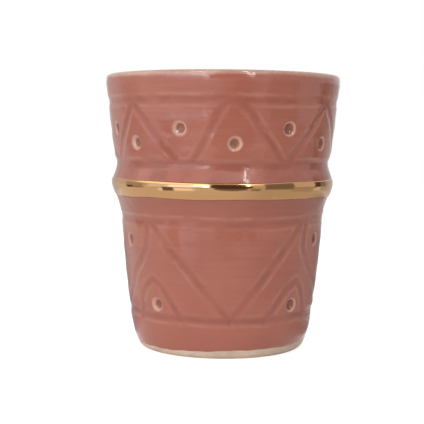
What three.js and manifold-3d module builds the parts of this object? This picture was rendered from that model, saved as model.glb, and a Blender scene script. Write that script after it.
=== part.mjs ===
// A handle-less coffee cup of thrown clay: a flared tumbler with a ridge round its wall, cut zigzag friezes,
// a glaze coat outside and inside, and a band of gold lustre on the ridge.
// Millimetres, +Z up. The origin is the middle of the foot on the table, and the front faces -Y.
import * as THREE from "three";
import { mergeVertices, toCreasedNormals } from "three/addons/utils/BufferGeometryUtils.js";
import Module from "manifold-3d";

const wasm = await Module();
wasm.setup();

// Finished outside: a straight flare from the base to the rim, with a slight belly low on the wall and a
// slighter swell between the waist ring and the lip
const cupHeight = 80;
const rimRadius = 34.5;
const baseRadius = 25.5;
const bellyBulge = 0.5;
const bellyHeight = 40;
const upperSwell = 0.18;
const footTuck = 1.3;
const footTuckHeight = 8;

// Ridge round the wall
const ridgeHeight = 48.25;
const ridgeProud = 1.72;
const ridgeSpreadBelow = 3.4;
const ridgeSpreadAbove = 2.4;

// Clay, lip, floor and foot
const clayWall = 2.4;
const lipCorner = 1.3;
const floorHeight = 6;
const floorFillet = 6;
const footEdge = 0.6;
const footRingWidth = 6;
const footRecess = 1;
const footSetback = 0.3;

// Coats, and the gap that keeps each coat clear of what it is fired on to
const glazeThickness = 0.6;
const glazeLine = 2.3;
const lipReturn = 2.4;
const goldThickness = 0.25;
const goldBelowRidge = 3.4;
const goldAboveRidge = 1.45;
const bondGap = 0.3;

// Ring lines: set out from the rim, from the ridge or from the table
const topRingDrop = 8.1;
const waistRingRise = 6.05;
const shoulderRingDrop = 9.85;
const bottomRingHeight = 11.3;

// Cut lines and pits as they show in the glaze, and the glaze and clay left round and behind a pit
const ringWidth = 2.8;
const strokeWidth = 2.2;
const lineDepth = 0.4;
const pitWidth = 2.4;
const pitFloor = 1.6;
const pitCoat = 0.3;
const pitPool = 0.8;
const pitBackWall = 0.8;
const cutReach = 0.8;

// Upper frieze, in degrees round from the front. Each stroke of the zigzag runs from a foot on the waist ring
// to a top on the top ring, and at the front the feet and the tops are drawn apart.
// The pits are given as shares of the way up the frieze: low ones under the tops, high ones over the feet.
const zigzagStrokes = [
  [-66.8, -48.0],
  [-21.9, -49.0],
  [-15.8, 2.0],
  [32.8, 7.9],
  [33.5, 59.2],
  [85.6, 59.2],
  [85.6, 110.4],
  [137.5, 110.4],
  [137.5, 160.8],
  [189.3, 160.8],
  [189.3, 211.2],
  [241.2, 211.2],
  [241.2, 261.8],
  [293.3, 261.8],
];
const lowPits = [-47.5, 5.9, 59.2, 110.4, 160.8, 211.2, 261.8];
const highPits = [-66.7, -20.7, 33.5, 85.6, 137.5, 189.3, 241.2];
const lowPitShare = 0.34;
const highPitShare = 0.57;

// Lower frieze, as degrees round from the front and shares of the way up, drawn for the front half of the cup
// and cut again on the back half
const lowerStrokes = [
  [[-42.4, 1], [5.4, 0], [49.1, 1]],
  [[-45.5, 1], [-45.3, 0.73], [-56, 0.48], [-80, 0]],
  [[51.6, 1], [50.5, 0.73], [60.5, 0.48], [94, 0]],
  [[-56, 0], [-51.5, 0.28], [-39.5, 0.42], [-24.1, 0]],
  [[26.8, 0], [46, 0.42], [54.5, 0.28], [58.6, 0]],
];
const lowerPits = [[-63.4, 0.78], [-40.9, 0.13], [45.6, 0.13], [64.8, 0.8]];
const lowerTurns = [0, 180];

// Facets
const turnSegments = 36;
const pitSides = 8;
const strokeStep = 6;
const tuckSteps = 2;
const wallSteps = 2;
const ridgeSteps = 8;
const goldSteps = 4;
const cornerSteps = 3;
const filletSteps = 4;
const ridgeReach = 2.4;
const creaseDegrees = 15;

// Sizes that follow from the driving ones
const clayInset = glazeThickness + bondGap;
const fullWall = clayWall + 2 * clayInset;
const lipBase = cupHeight - lipCorner;
const coatJoint = lipBase - lipReturn;
const upperFrieze = { low: ridgeHeight + waistRingRise, high: cupHeight - topRingDrop };
const lowerFrieze = { low: bottomRingHeight, high: ridgeHeight - shoulderRingDrop };
const rings = [lowerFrieze.low, lowerFrieze.high, upperFrieze.low, upperFrieze.high];
const clayPitDepth = clayWall - pitBackWall;

// Half a wave from nought at one height, through one, to nought at another, and nought beyond them
function halfWave(height, low, high) {
  return Math.sin(Math.PI * THREE.MathUtils.clamp((height - low) / (high - low), 0, 1));
}

// Radius of the finished outside at a height: flare, belly, swell, bell-shaped ridge and tucked-in foot
function outside(height) {
  const flare = ((rimRadius - baseRadius) * height) / lipBase;
  const belly = bellyBulge * halfWave(height, 0, bellyHeight);
  const swell = upperSwell * halfWave(height, upperFrieze.low, lipBase) ** 2;
  const spread = height < ridgeHeight ? ridgeSpreadBelow : ridgeSpreadAbove;
  const ridge = ridgeProud * Math.exp(-0.5 * ((height - ridgeHeight) / spread) ** 2);
  const tuck = footTuck * Math.max(0, 1 - height / footTuckHeight) ** 2;
  return baseRadius + flare + belly + swell + ridge - tuck;
}

// Radius of the finished inside at a height: a straight wall from the floor to the lip
function inside(height) {
  const low = outside(floorHeight) - fullWall;
  const high = rimRadius - fullWall;
  return low + ((high - low) * (height - floorHeight)) / (lipBase - floorHeight);
}

// Values from one end up to, but without, the other
function evenly(from, to, steps) {
  return Array.from({ length: steps }, (_, i) => from + ((to - from) * i) / steps);
}

// Points up the outside, set in from the finished surface, with the ring lines as V-shaped notches
function outsideWall(inset) {
  const ridgeStart = ridgeHeight - ridgeReach * ridgeSpreadBelow;
  const ridgeEnd = ridgeHeight + ridgeReach * ridgeSpreadAbove;
  const plain = [
    ...evenly(glazeLine, footTuckHeight, tuckSteps),
    ...evenly(footTuckHeight, ridgeStart, wallSteps),
    ...evenly(ridgeStart, ridgeEnd, ridgeSteps),
    ...evenly(ridgeEnd, lipBase, wallSteps),
  ];
  const edge = ringWidth / 2;
  const clear = (height) => rings.every((ring) => Math.abs(height - ring) > edge);
  const points = plain.filter(clear).map((height) => new THREE.Vector2(outside(height) - inset, height));
  for (const ring of rings) {
    points.push(new THREE.Vector2(outside(ring - edge) - inset, ring - edge));
    points.push(new THREE.Vector2(outside(ring) - inset - lineDepth, ring));
    points.push(new THREE.Vector2(outside(ring + edge) - inset, ring + edge));
  }
  return points.sort((one, other) => one.y - other.y);
}

// Points over the lip from the outside to the inside: two rounded corners with a flat between them
function lip(inset) {
  const radius = lipCorner - inset;
  const outerX = rimRadius - lipCorner;
  const innerX = rimRadius - fullWall + lipCorner;
  const outer = new THREE.EllipseCurve(outerX, lipBase, radius, radius, 0, Math.PI / 2);
  const inner = new THREE.EllipseCurve(innerX, lipBase, radius, radius, Math.PI / 2, Math.PI);
  return [...outer.getPoints(cornerSteps), ...inner.getPoints(cornerSteps)];
}

// Points from the foot of the inside wall round the fillet to the middle of the floor
function insideFloor(inset) {
  const filletTop = floorHeight + floorFillet;
  const floor = floorHeight - inset;
  const fillet = new THREE.QuadraticBezierCurve(
    new THREE.Vector2(inside(filletTop) + inset, filletTop),
    new THREE.Vector2(inside(floorHeight) + inset, floor),
    new THREE.Vector2(inside(floorHeight) - floorFillet, floor),
  );
  return [...fillet.getPoints(filletSteps), new THREE.Vector2(0, floor)];
}

// Solid of revolution of a profile that runs out along the bottom, up the outside and back down the inside
function turned(profile) {
  return solidOf(new THREE.LatheGeometry(profile, turnSegments).rotateX(Math.PI / 2));
}

// Solid of a closed geometry, with shared vertices merged and triangles that shrank to a line left out
function solidOf(geometry) {
  const bare = new THREE.BufferGeometry();
  bare.setAttribute("position", geometry.getAttribute("position"));
  bare.setIndex(geometry.getIndex());
  const merged = mergeVertices(bare);
  const corners = merged.getIndex().array;
  const kept = [];
  for (let i = 0; i < corners.length; i += 3) {
    const triangle = [corners[i], corners[i + 1], corners[i + 2]];
    if (new Set(triangle).size === 3) kept.push(...triangle);
  }
  const vertProperties = merged.getAttribute("position").array;
  const triVerts = new Uint32Array(kept);
  return new wasm.Manifold(new wasm.Mesh({ numProp: 3, vertProperties, triVerts }));
}

// Named mesh of a solid
function meshOf(name, solid, finish) {
  const { vertProperties, triVerts } = solid.getMesh();
  const geometry = new THREE.BufferGeometry();
  geometry.setAttribute("position", new THREE.BufferAttribute(vertProperties, 3));
  geometry.setIndex(new THREE.BufferAttribute(triVerts, 1));
  const creased = toCreasedNormals(geometry, THREE.MathUtils.degToRad(creaseDegrees));
  const mesh = new THREE.Mesh(creased, new THREE.MeshStandardMaterial(finish));
  mesh.name = name;
  return mesh;
}

// Half the width of a tapered cut where it leaves the wall by its reach
function mouthOf({ width, floorWidth = 0, depth, reach }) {
  return width / 2 + ((width - floorWidth) / 2 / depth) * reach;
}

// Bends a flat drawing (x round the cup, y up, z out of the wall) on to the wall at a place
function layOn(wall, geometry, place, radius) {
  const position = geometry.getAttribute("position");
  for (let i = 0; i < position.count; i += 1) {
    const angle = place.angle + position.getX(i) / radius;
    const height = place.height + position.getY(i);
    const reach = wall(height) + position.getZ(i);
    position.setXYZ(i, reach * Math.sin(angle), -reach * Math.cos(angle), height);
  }
  return geometry;
}

// Straight line cut from one place to another, run on a little at both ends so that bends join up
function strokeCutter(wall, from, to, cut) {
  const radius = wall((from.height + to.height) / 2);
  const run = new THREE.Vector3((to.angle - from.angle) * radius, to.height - from.height, 0);
  const overrun = cut.width / 4;
  const length = run.length() + 2 * overrun;
  const along = run.normalize();
  const out = new THREE.Vector3(0, 0, 1);
  const across = new THREE.Vector3().crossVectors(out, along);
  const mouth = mouthOf(cut);
  const section = new THREE.Shape()
    .moveTo(0, -cut.depth)
    .lineTo(mouth, cut.reach)
    .lineTo(-mouth, cut.reach);
  const geometry = new THREE.ExtrudeGeometry(section, {
    depth: length,
    steps: Math.ceil(length / strokeStep),
    bevelEnabled: false,
  });
  geometry.translate(0, 0, -overrun);
  geometry.applyMatrix4(new THREE.Matrix4().makeBasis(across, out, along));
  return solidOf(layOn(wall, geometry, from, radius));
}

// Round tapered hole at a place
function pitCutter(wall, place, cut) {
  const length = cut.depth + cut.reach;
  const geometry = new THREE.CylinderGeometry(mouthOf(cut), cut.floorWidth / 2, length, pitSides);
  geometry.translate(0, length / 2 - cut.depth, 0);
  geometry.rotateX(Math.PI / 2);
  return solidOf(layOn(wall, geometry, place, wall(place.height)));
}

// Place on a frieze, from degrees round the cup and a share of the way up between two rings
function placeOn(frieze, degrees, share) {
  return {
    angle: THREE.MathUtils.degToRad(degrees),
    height: THREE.MathUtils.lerp(frieze.low, frieze.high, share),
  };
}

// Places of a chain of the lower frieze, on the front half and again on the back half
function onLowerFrieze(chain) {
  const placedAt = (turn) => chain.map(([degrees, share]) => placeOn(lowerFrieze, degrees + turn, share));
  return lowerTurns.map(placedAt);
}

// Every stroke of both friezes as one solid, on a wall given by its radius at each height
function strokesOn(wall, cut) {
  const zigzag = zigzagStrokes.map(([foot, top]) => [
    placeOn(upperFrieze, foot, 0),
    placeOn(upperFrieze, top, 1),
  ]);
  const chains = [...zigzag, ...lowerStrokes.flatMap(onLowerFrieze)];
  const cutters = chains.flatMap((chain) =>
    chain.slice(1).map((to, i) => strokeCutter(wall, chain[i], to, cut)),
  );
  return joined(cutters);
}

// Every pit of both friezes as one solid, on a wall given by its radius at each height
function pitsOn(wall, cut) {
  const places = [
    ...lowPits.map((degrees) => placeOn(upperFrieze, degrees, lowPitShare)),
    ...highPits.map((degrees) => placeOn(upperFrieze, degrees, highPitShare)),
    ...onLowerFrieze(lowerPits).flat(),
  ];
  return joined(places.map((place) => pitCutter(wall, place, cut)));
}

// One solid of several
function joined(solids) {
  return solids.reduce((whole, solid) => whole.add(solid));
}

// Thrown body: recessed foot, bare foot band, ringed wall, lip, inside and floor, with the pits cut in
function clayBody() {
  const shoulder = glazeLine - bondGap;
  const bareFoot = (height) => outside(height) - footSetback;
  const ringInner = bareFoot(0) - footEdge - footRingWidth;
  const profile = [
    new THREE.Vector2(0, footRecess),
    new THREE.Vector2(ringInner - footRecess, footRecess),
    new THREE.Vector2(ringInner, 0),
    new THREE.Vector2(bareFoot(0) - footEdge, 0),
    new THREE.Vector2(bareFoot(footEdge), footEdge),
    new THREE.Vector2(bareFoot(shoulder), shoulder),
    new THREE.Vector2(outside(shoulder) - clayInset, shoulder),
    ...outsideWall(clayInset),
    ...lip(clayInset),
    ...insideFloor(clayInset),
  ];
  const coats = 2 * (pitCoat + bondGap);
  const pits = pitsOn((height) => outside(height) - clayInset, {
    width: pitWidth + coats,
    floorWidth: pitFloor + coats,
    depth: clayPitDepth,
    reach: cutReach,
  });
  return turned(profile).subtract(pits);
}

// Outer coat: up the wall from the glaze line and over the lip, lining the pits, with the strokes in its face
function outerGlaze() {
  const face = outsideWall(0);
  const profile = [
    ...face,
    ...lip(0),
    new THREE.Vector2(inside(coatJoint), coatJoint),
    new THREE.Vector2(inside(coatJoint) + glazeThickness, coatJoint),
    ...lip(glazeThickness).reverse(),
    ...outsideWall(glazeThickness).reverse(),
    face[0],
  ];
  const linings = pitsOn((height) => outside(height) - glazeThickness, {
    width: pitWidth + 2 * pitCoat,
    floorWidth: pitFloor + 2 * pitCoat,
    depth: clayPitDepth,
    reach: glazeThickness / 2,
  });
  const pits = pitsOn(outside, {
    width: pitWidth,
    floorWidth: pitFloor,
    depth: glazeThickness + clayPitDepth - pitPool,
    reach: cutReach,
  });
  const strokes = strokesOn(outside, { width: strokeWidth, depth: lineDepth, reach: cutReach });
  return turned(profile).add(linings).subtract(pits).subtract(strokes);
}

// Inner coat: the floor and the wall up to where it meets the outer coat under the lip
function innerGlaze() {
  const top = coatJoint - bondGap;
  const bonded = insideFloor(glazeThickness).reverse();
  const profile = [
    ...bonded,
    new THREE.Vector2(inside(top) + glazeThickness, top),
    new THREE.Vector2(inside(top), top),
    ...insideFloor(0),
  ];
  return turned(profile);
}

// Gold lustre: a thin ring over the crown and the lower flank of the ridge
function goldBand() {
  const low = ridgeHeight - goldBelowRidge;
  const high = ridgeHeight + goldAboveRidge;
  const heights = [...evenly(low, high, goldSteps), high];
  const under = heights.map((height) => new THREE.Vector2(outside(height) + bondGap, height));
  const face = under.map((point) => new THREE.Vector2(point.x + goldThickness, point.y));
  return turned([...face, ...under.reverse(), face[0]]);
}

const cup = new THREE.Group();
cup.add(
  meshOf("clay_body", clayBody(), { color: 0xc8b4a0, roughness: 0.85, metalness: 0 }),
  meshOf("outer_glaze", outerGlaze(), { color: 0xae6e5e, roughness: 0.2, metalness: 0 }),
  meshOf("inner_glaze", innerGlaze(), { color: 0xae6e5e, roughness: 0.2, metalness: 0 }),
  meshOf("gold_band", goldBand(), { color: 0xd4af6e, roughness: 0.15, metalness: 1 }),
);

export default cup;
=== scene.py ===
"""A thrown coffee cup without a handle, with friezes cut under a rose glaze.

A gold band lies on its ridge, and its foot is bare clay. Metres, +Z up, the front faces -Y. Angles run round
the cup from the front towards +X.
"""

import math

import bpy
import numpy as np
from bpy.props import FloatProperty, FloatVectorProperty, IntProperty, PointerProperty
from bpy.types import Operator, Panel, PropertyGroup
from mathutils import Matrix, Vector


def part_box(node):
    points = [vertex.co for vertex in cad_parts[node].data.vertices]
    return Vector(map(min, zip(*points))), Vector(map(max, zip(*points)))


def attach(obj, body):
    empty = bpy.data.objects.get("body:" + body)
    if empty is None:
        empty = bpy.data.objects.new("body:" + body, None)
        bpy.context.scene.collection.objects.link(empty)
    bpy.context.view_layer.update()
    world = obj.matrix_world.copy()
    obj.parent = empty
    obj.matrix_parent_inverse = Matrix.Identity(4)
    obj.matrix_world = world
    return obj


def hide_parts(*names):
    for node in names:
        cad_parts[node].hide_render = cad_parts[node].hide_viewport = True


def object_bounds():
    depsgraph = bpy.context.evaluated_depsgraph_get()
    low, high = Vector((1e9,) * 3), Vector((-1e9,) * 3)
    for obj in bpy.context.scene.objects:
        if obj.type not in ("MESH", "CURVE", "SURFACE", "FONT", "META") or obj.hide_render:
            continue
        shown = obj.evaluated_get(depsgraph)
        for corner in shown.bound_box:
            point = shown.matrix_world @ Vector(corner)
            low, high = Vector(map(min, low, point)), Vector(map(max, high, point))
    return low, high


bl_info = {
    "name": "Gold Banded Coffee Cup",
    "version": (1, 0, 0),
    "blender": (4, 5, 0),
    "location": "3D View > Sidebar > Cup",
    "description": "Builds a thrown coffee cup with cut friezes, rose glaze and a gold band",
    "category": "Add Mesh",
}

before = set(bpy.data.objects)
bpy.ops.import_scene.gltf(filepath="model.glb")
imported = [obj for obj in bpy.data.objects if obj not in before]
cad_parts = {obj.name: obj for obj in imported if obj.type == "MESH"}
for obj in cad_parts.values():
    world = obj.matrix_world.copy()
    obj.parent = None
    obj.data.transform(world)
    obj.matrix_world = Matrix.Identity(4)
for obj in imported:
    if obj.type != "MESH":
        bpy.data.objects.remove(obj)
CAD_LOW, CAD_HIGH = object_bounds()
GOLD_LOW, GOLD_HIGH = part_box("gold_band")

MM = 0.001
WHITE = (1, 1, 1)
# Further than any cut reaches
FAR = 20 * MM
# Power of the squared ellipse that rounds the lip
LIP_SQUARENESS = 4.8
# Sockets of a Mix node's two colours and of the colour that it gives
MIX_COLOURS = (6, 7)
MIX_RESULT = 2

# Upper frieze: degrees of each zigzag stroke's foot on the waist ring and of its top under the top ring, then
# of the pits under the tops and over the feet, and how far up these are
ZIGZAG_STROKES = (
    (-66.8, -48.0),
    (-21.9, -49.0),
    (-15.8, 2.0),
    (32.8, 7.9),
    (33.5, 59.2),
    (85.6, 59.2),
    (85.6, 110.4),
    (137.5, 110.4),
    (137.5, 160.8),
    (189.3, 160.8),
    (189.3, 211.2),
    (241.2, 211.2),
    (241.2, 261.8),
    (293.3, 261.8),
)
LOW_PITS = (-47.5, 5.9, 59.2, 110.4, 160.8, 211.2, 261.8)
HIGH_PITS = (-66.7, -20.7, 33.5, 85.6, 137.5, 189.3, 241.2)
LOW_PIT_SHARE = 0.34
HIGH_PIT_SHARE = 0.57

# Lower frieze: degrees and shares of the way up, for the front half and again for the back half
LOWER_CHEVRON = ((-42.4, 1), (5.4, 0), (49.1, 1))
LOWER_SCROLLS = (
    ((-45.5, 1), (-45.3, 0.73), (-56, 0.48), (-80, 0)),
    ((51.6, 1), (50.5, 0.73), (60.5, 0.48), (94, 0)),
)
LOWER_TENTS = (
    ((-56, 0), (-51.5, 0.28), (-39.5, 0.42), (-24.1, 0)),
    ((26.8, 0), (46, 0.42), (54.5, 0.28), (58.6, 0)),
)
LOWER_PITS = ((-63.4, 0.78), (-40.9, 0.13), (45.6, 0.13), (64.8, 0.8))
LOWER_TURNS = (0, 180)

# Waves round the cup: each so many millimetres high, so many times round, and its phase
GLAZE_LINE_WAVES = ((0.8, 1, 0.69), (0.10, 5, 1.0), (0.07, 13, 0.4), (0.05, 29, 2.2))
RING_WAVES = ((0.13, 2, 1.1), (0.09, 5, 0.4), (0.06, 11, 2))
GOLD_LOW_WAVES = ((0.10, 3, 0.5), (0.06, 8, 0))
GOLD_HIGH_WAVES = ((0.05, 2, 2), (0.12, 7, -1.9))

# Marks of throwing: lobes, their phase and the lean of some, a spiral and its pitch, and where both fade out
LOBE = 0.05 * MM
LOBE_PHASE = 0.7
LOBE_LEAN = 14 * MM
SPIRAL = 0.035 * MM
SPIRAL_PITCH = 6.5 * MM
FOOT_FADE = 5 * MM
LIP_FADE = 6 * MM

# The hand in the strokes: how far they sway and lift, and over what length
STROKE_SWAY = 0.16 * MM
SWAY_LENGTH = 5 * MM
STROKE_LIFT = 0.14 * MM
LIFT_LENGTH = 8 * MM

# Lines are pressed in less at the front: share lost, and the middle and spread of that, in radians
PRESS_LOSS = 0.6
PRESS_PLACE = (-0.17, 0.6)
# How far the groove above the ridge fades out downwards, and the soft edge of a dent
WAIST_FADE = 2 * MM
DENT_SOFTEN = 0.6 * MM
# Middle and spread of a burr beside a line, in shares of the softening
BURR_MIDDLE = 0.5
BURR_SPREAD = 0.3

# A pit in shares of its radius: where each form starts, and the width over which it eases in
PIT_HOLE = (1.07, -0.25)
PIT_FUNNEL = (1.45, -0.45)
PIT_CLEAR = (1.2, 0.8)
# Middle and spread of the burr round it
PIT_BURR = (1.7, 0.25)

# Cuts are wider at the back of the glaze and in the clay, so that the layers stay clear of each other
COAT_WIDEN = 0.7 * MM
CLAY_WIDEN = 1 * MM

# Steps round the clay and the inside, and round the gold
BODY_COLUMNS = 288
GOLD_COLUMNS = 720
# Where the friezes lie, as heights above the seam and as shares of the way below it, and the rows of the
# glaze's face and back before, on and after them
UPPER_FRIEZE_SPAN = (53 * MM, 74 * MM)
UPPER_ROWS = (12, 68, 8)
UPPER_BACK_ROWS = (2, 22, 3)
LOWER_FRIEZE_SPAN = (7 / 44, 38 / 44)
LOWER_ROWS = (9, 92, 8)
LOWER_BACK_ROWS = (2, 24, 3)
# Rows of the lip on the glaze's face, on its back and on the clay, then of the glaze inside the lip and round
# its low edge
LIP_ROWS = 23
LIP_BACK_ROWS = 11
LIP_CLAY_ROWS = 13
RETURN_ROWS = 3
NOSE_ROWS = 6
# Rows of the clay: hollow, step, ring, heel and bare band of the foot, then the wall and the inside
HOLLOW_ROWS = 28
STEP_ROWS = 4
RING_ROWS = 8
HEEL_ROWS = 5
BARE_ROWS = 10
WALL_ROWS = 150
INSIDE_ROWS = 30
# Rows of the bowl's round and floor, and of the inner glaze's back and of its top and face
ROUND_ROWS = 16
FLOOR_ROWS = 20
INNER_BACK_ROWS = 24
INNER_ROWS = (2, 70)

# The foot: its set-in and rounded heel, the rings turned into its hollow, and its worn bare band
FOOT_SET_IN = 0.35 * MM
HEEL = 0.5 * MM
HEEL_END = -0.2
AXIS_HOLE = 0.6 * MM
TURNED_RING = 0.05 * MM
TURNED_PITCH = 1.9 * MM
TURNED_FADE = 4 * MM
BARE_OVERLAP = 0.1 * MM
BARE_SET_IN = 0.1 * MM
BARE_WEAR = 0.25 * MM
BARE_WEAR_SPAN = (0.3 * MM, 0.8 * MM)
# Room between the glaze's lower edge and the clay behind it, and the roundness of that edge
EDGE_ROOM = 0.3 * MM
GLAZE_NOSE = 0.25 * MM

# Rings of throwing inside the cup, and the thin top of the inner glaze
RIPPLE = 0.06 * MM
RIPPLE_PITCH = 6 * MM
RIPPLE_FADE = 6 * MM
JOINT_STEP = 0.1 * MM

# Edges of the gold: the low one strays up at one place, with its middle and spread in radians. The high one
# climbs away from the front, with its start and width in radians, from a slight dip.
GOLD_STRAY = 0.28 * MM
GOLD_STRAY_PLACE = (-0.65, 0.28)
GOLD_CLIMB = 0.38 * MM
GOLD_CLIMB_SPAN = (0.3, 0.5)
GOLD_DIP = 0.02 * MM
# Shares of the band's width between its close rows, the rows, and every how many rows its back has one
GOLD_CLOSE_ROWS = (0.06, 0.94)
GOLD_ROWS = (6, 48, 6)
GOLD_BACK_STEP = 6
# How far in the film rounds off, how far it sinks at its edges, and how far in its back lies
GOLD_ROUND = 0.3 * MM
GOLD_SINK = 0.08 * MM
GOLD_BACK = 0.2 * MM

# Belts of the glaze: middle height, and the distances at which it has died out and is full, in millimetres.
# The belt under the ridge is painted shade.
UNDER_RIDGE_SHADE = (42.5, 4.5, 1.5)
RIDGE_TOP = (51.2, 2.4, 1.0)
UPPER_FRIEZE = (63, 8.3, 7.3)
LOWER_FRIEZE = (24.8, 12.8, 11.8)
# Heights over which the glaze changes, in millimetres. Low on the wall it is painted light.
UNDER_RIM = (73.0, 74.5)
LIT_LOW_WALL = (30, 8)
LIP_TOP = (79.0, 80.6)
# Distances to the right of the axis over which it changes, in millimetres. Over the first, the rim
# takes painted shade towards the right.
RIM_SHADE_RIGHT = (16, 30)
SOFT_LEFT = (-27, -17)
SOFT_RIGHT = (16, 6)
BORE_LEFT = (-24.5, -26)
BORE_RIGHT = (4, 20)
RUN_LEFT = (-34, -14)
RUN_RIGHT = (2, -6)

# Greys of the floor in the light on the cup and in the view, where it also glows
FLOOR_GREY = 0.8
FLOOR_SHADED = 0.4
FLOOR_GLOW = 0.8
SENSOR_WIDTH = 36
CLIP_START = 0.01


def length(name, description, millimetres):
    """A length property, given in millimetres and kept in metres."""
    return FloatProperty(
        name=name, description=description, default=millimetres * MM, unit="LENGTH", precision=5
    )


def colour(name, description, rgb):
    """A colour property, in linear light."""
    return FloatVectorProperty(
        name=name, description=description, default=rgb, size=3, subtype="COLOR", min=0, max=1
    )


def share(name, description, value):
    """A property between nought and one."""
    return FloatProperty(
        name=name, description=description, default=value, subtype="FACTOR", min=0, max=1
    )


def power(name, description, watts):
    """A lamp's power property."""
    return FloatProperty(name=name, description=description, default=watts, unit="POWER")


class CupShape(PropertyGroup):
    """Sizes of the thrown cup and its coats."""

    height: FloatProperty(
        name="Height", description="From the table to the rim", default=CAD_HIGH.z, unit="LENGTH"
    )
    rim_radius: FloatProperty(
        name="Rim radius", description="Outside radius at the rim", default=CAD_HIGH.x, unit="LENGTH"
    )
    base_radius: length("Base radius", "Radius the straight wall would have at the table", 25.5)
    flare_height: length("Flare height", "Height where the straight wall would have the rim's radius", 78.7)
    belly: length("Belly", "How far the lower wall swells out", 0.5)
    belly_height: length("Belly height", "Height at which the belly has died out", 40)
    swell: length("Upper swell", "How far the wall swells out between the waist and the lip", 0.18)
    swell_low: length("Swell height", "Height at which the upper swell starts", 54.3)
    tuck: length("Foot tuck", "How far the wall draws in at the foot", 1.3)
    tuck_height: length("Foot tuck height", "Height at which the foot starts to draw in", 8)
    ridge_height: length("Ridge height", "Height of the ridge's crown", 48.25)
    ridge_proud: length("Ridge", "How far the ridge stands out of the wall", 1.72)
    ridge_below: length("Ridge spread below", "Spread of the ridge below its crown", 3.4)
    ridge_above: length("Ridge spread above", "Spread of the ridge above its crown", 2.4)
    wall: length("Wall", "Thickness of the glazed wall at the lip", 4.2)
    floor_height: length("Floor height", "Height of the glazed floor inside", 6)
    fillet: length("Floor fillet", "Reach of the round between floor and wall", 6)
    coat: length("Glaze thickness", "Thickness of the glaze", 0.6)
    bond: length("Bond", "Room kept between a coat and the clay", 0.05)
    glaze_line: length("Glaze line", "Height at which the glaze ends over the bare foot", 1.85)
    lip_rise: length("Lip rise", "Height over which the wall rounds over into the lip", 2.8)
    lip_bead: length("Lip bead", "Height of the slight bead that the lip ends in", 5)
    lip_return: length("Lip return", "How far the outer glaze comes down inside the lip", 1.2)
    foot_ring: length("Foot ring", "Width of the ring that the cup stands on", 6)
    foot_recess: length("Foot recess", "Depth of the hollow inside the foot ring", 1)
    gold_film: length("Gold thickness", "How far the gold stands out of the glaze", 0.18)

    @property
    def lip_height(self):
        """Height at which the wall starts to round over into the lip."""
        return self.height - self.lip_rise

    @property
    def joint_height(self):
        """Height inside the cup at which the outer glaze meets the inner glaze."""
        return self.lip_height - self.lip_return


class CupCuts(PropertyGroup):
    """Sizes of the cut lines and pits."""

    top_ring: length("Top ring", "Height of the ring under the rim", 71.9)
    waist_ring: length("Waist ring", "Height of the groove above the ridge", 54.3)
    shoulder_ring: length("Shoulder ring", "Height of the ring below the ridge", 38.4)
    bottom_ring: length("Bottom ring", "Height of the ring above the foot", 11.3)
    ring_width: length("Ring width", "Width of a ring line", 2.1)
    ring_depth: length("Ring depth", "Depth of the rings under the rim and above the foot", 0.2)
    shoulder_depth: length("Shoulder ring depth", "Depth of the ring below the ridge", 0.13)
    waist_width: length("Waist width", "Width of the groove above the ridge", 2.4)
    waist_depth: length("Waist depth", "Depth of the groove above the ridge", 0.42)
    stroke_width: length("Stroke width", "Width of a stroke of the friezes", 2.1)
    stroke_depth: length("Stroke depth", "Depth of a stroke of the friezes", 0.19)
    soften: length("Softening", "Width over which the glaze rounds the edge of a cut", 1.6)
    burr: length("Burr", "Height of the clay pushed up beside a cut", 0.03)
    pit_radius: length("Pit radius", "Radius of a pit's hole", 1.5)
    pit_depth: length("Pit depth", "Depth of a pit's sides below its funnel", 0.5)
    pit_bowl: length("Pit bowl", "Depth of the bowl in the bottom of a pit", 0.5)
    foot_mark: length("Foot mark", "Radius of the dent where the tool was lifted at a stroke's foot", 0.75)
    foot_mark_depth: length("Foot mark depth", "Depth of that dent", 0.22)
    foot_mark_drop: length("Foot mark drop", "How far that dent lies below the ring", 0.8)
    funnel_depth: length("Funnel depth", "Depth of the funnel at a pit's mouth", 0.32)


class CupFinish(PropertyGroup):
    """Colours and gloss of the cup's finishes."""

    rose: colour("Rose glaze", "Glaze on the plain wall", (0.400, 0.128, 0.089))
    rose_warm: colour("Warm glaze", "Glaze where it is a little thinner", (0.435, 0.147, 0.099))
    # Also paints shade under the ridge and towards the right of the rim
    rose_pool_and_shade: colour("Pooled glaze", "Glaze that lies thick in a cut", (0.342, 0.109, 0.077))
    # Paints light low on the wall, as well as thin glaze on the ridge
    rose_thin_and_lit: colour("Low glaze", "Glaze that is thin low on the wall", (0.468, 0.151, 0.102))
    rose_edge: colour("Edge glaze", "Glaze that is thin along the edge of a cut", (0.500, 0.215, 0.150))
    rose_lip: colour("Lip glaze", "Glaze that has run thin on the lip", (0.640, 0.420, 0.335))
    pit_rim: colour("Pit rim", "Glaze round the mouth of a pit", (0.680, 0.400, 0.295))
    pit_floor: colour("Pit floor", "Glaze in the bottom of a pit", (0.300, 0.122, 0.082))
    gloss: share("Glaze roughness", "Roughness of the fired glaze", 0.1)
    clay: colour("Clay", "Bare clay of the foot", (0.780, 0.595, 0.465))
    clay_stain: colour("Clay stain", "Clay rubbed grey by use", (0.610, 0.465, 0.370))
    gold: colour("Gold", "Gold lustre", (0.475, 0.266, 0.122))
    gold_thin: colour("Thin gold", "Gold lustre at the worn edges of the band", (0.380, 0.165, 0.080))
    gold_gloss: share("Gold roughness", "Roughness of the gold lustre", 0.07)


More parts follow.
